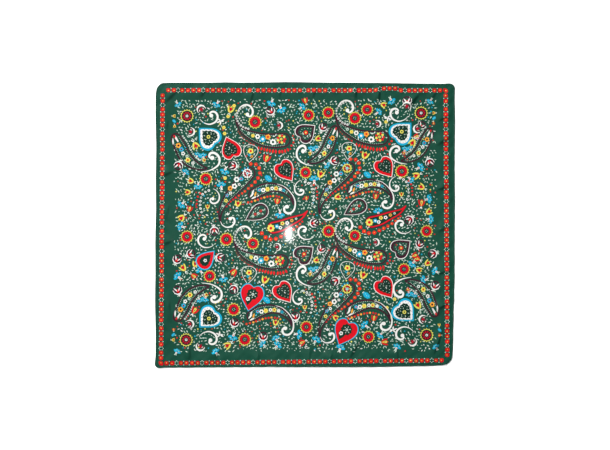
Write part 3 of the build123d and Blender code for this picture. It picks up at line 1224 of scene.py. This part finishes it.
def make_stitches(kind, side, height, dip, material):
    """A row of lockstitches: each rises from a needle hole, lies on the hem and dips into the next hole."""
    line = at_inset(side, SEAM_INSET)
    walked = walk(line)
    count = int(walked[-1] / STITCH)
    flat, heights, faces = [], [], []
    for k in range(count):
        base = len(flat)
        for share, girth, depth in STITCH_PROFILE:
            place = (k + STITCH_GAP + (1 - 2 * STITCH_GAP) * share) / count * walked[-1]
            at = place_at(line, walked, place)
            heading = place_at(line, walked, place + 0.5) - place_at(line, walked, place - 0.5)
            across = np.array([-heading[1], heading[0]]) / max(np.linalg.norm(heading), 1e-9)
            radius = THREAD / 2 * girth
            for angle in 2 * math.pi * np.arange(STITCH_SIDES) / STITCH_SIDES:
                flat.append(at + across * radius * math.cos(angle))
                heights.append(height + depth * dip + radius * math.sin(angle))
        last = base + (len(STITCH_PROFILE) - 1) * STITCH_SIDES
        for ring in range(base, last, STITCH_SIDES):
            for j in range(STITCH_SIDES):
                a, b = ring + j, ring + (j + 1) % STITCH_SIDES
                faces.append((a, a + STITCH_SIDES, b + STITCH_SIDES, b))
        faces.append(tuple(range(base, base + STITCH_SIDES)))
        faces.append(tuple(reversed(range(last, last + STITCH_SIDES))))
    row = new_piece(f"{kind}_stitches_{side}", lay_out(np.array(flat), np.array(heights)), faces, [material])
    row.data.shade_smooth()
    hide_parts(f"{kind}_thread_{side}")
    return row


# ---- Floor, light and camera ----

FLOOR_HALF = 40.0
FLOOR_DEPTH = 0.0004  # the scarf lies this far above it
FLOOR_GREY = 0.93
WORLD_STRENGTH = 0.40
SOFT_LIGHTS = {"key": (122, 30, 880), "side": (40, 27, 40)}  # heading and rise in degrees, and watts
SOFT_LIGHT_SIZE = (2.8, 2.2)
SOFT_LIGHT_REACH = 6.0
FLASH_SIZE = (0.012, 0.042)
FLASH_HEIGHT = 0.8
FLASH_WATTS = 5.4
GLARE = (-0.0371, -0.0208)  # where the flash shows in the satin
CAMERA_PLACE = (0.0007, -0.0007, 1.98)
LENS = 50


def make_floor():
    mesh = bpy.data.meshes.new("floor")
    corners = [(x * FLOOR_HALF, y * FLOOR_HALF, -FLOOR_DEPTH) for x, y in ((-1, -1), (1, -1), (1, 1), (-1, 1))]
    mesh.from_pydata(corners, [], [(0, 1, 2, 3)])
    material, _, _ = principled("pale_floor", {"Base Color": (*[FLOOR_GREY] * 3, 1.0), "Roughness": 0.9})
    mesh.materials.append(material)
    floor = bpy.data.objects.new("floor", mesh)
    bpy.context.scene.collection.objects.link(floor)


def area_light(name, place, target, size, watts):
    light = bpy.data.lights.new(name, "AREA")
    light.shape = "RECTANGLE"
    light.size, light.size_y = size
    light.energy = watts
    lamp = bpy.data.objects.new(name, light)
    bpy.context.scene.collection.objects.link(lamp)
    lamp.location = place
    lamp.rotation_euler = (Vector(target) - Vector(place)).to_track_quat("-Z", "Y").to_euler()


def make_lights():
    world = bpy.data.worlds.new("studio")
    world.use_nodes = True
    background = world.node_tree.nodes["Background"].inputs
    background["Color"].default_value = (1.0, 1.0, 1.0, 1.0)
    background["Strength"].default_value = WORLD_STRENGTH
    bpy.context.scene.world = world
    for name, (heading, rise, watts) in SOFT_LIGHTS.items():
        turn, rise = math.radians(heading), math.radians(rise)
        reach = SOFT_LIGHT_REACH * math.cos(rise)
        place = (reach * math.cos(turn), reach * math.sin(turn), SOFT_LIGHT_REACH * math.sin(rise))
        area_light(name, place, (0, 0, 0), SOFT_LIGHT_SIZE, watts)
    spread = 1 + FLASH_HEIGHT / CAMERA_PLACE[2]
    x, y = GLARE[0] * spread, GLARE[1] * spread
    area_light("flash", (x, y, FLASH_HEIGHT), (x, y, 0), FLASH_SIZE, FLASH_WATTS)


def make_camera():
    camera = bpy.data.objects.new("camera", bpy.data.cameras.new("camera"))
    bpy.context.scene.collection.objects.link(camera)
    camera.location = CAMERA_PLACE
    camera.data.lens = LENS
    camera.data.clip_start = 0.01
    bpy.context.scene.camera = camera


# ---- The scarf ----


def reversed_dye(colour):
    """A dye as it shows through to the reverse: weaker, over the ground's."""
    return [0.62 * g + 0.30 * c + 0.02 for g, c in zip(DYES["ground"], colour)]


print_cloth()
dyed = [satin(f"satin_{dye}", colour) for dye, colour in DYES.items()]
reverse = [satin(f"reverse_{dye}", reversed_dye(colour), 0.6) for dye, colour in DYES.items()]
panel = make_panel(dyed, reverse)
hem_satin = satin("satin_hem", DYES["ground"])
thread = twisted_thread("thread_green", [0.8 * c for c in DYES["ground"]])
needle_height = TOP_LAYER + CLOTH / 2 + CONTACT_GAP + THREAD / 2
for side in SIDES:
    make_hem(side, hem_satin)
    make_stitches("needle", side, needle_height, -STITCH_DIP, thread)
    make_stitches("bobbin", side, THREAD / 2, STITCH_DIP, thread)

make_floor()
make_lights()
make_camera()
bpy.context.scene.view_settings.view_transform = "Standard"
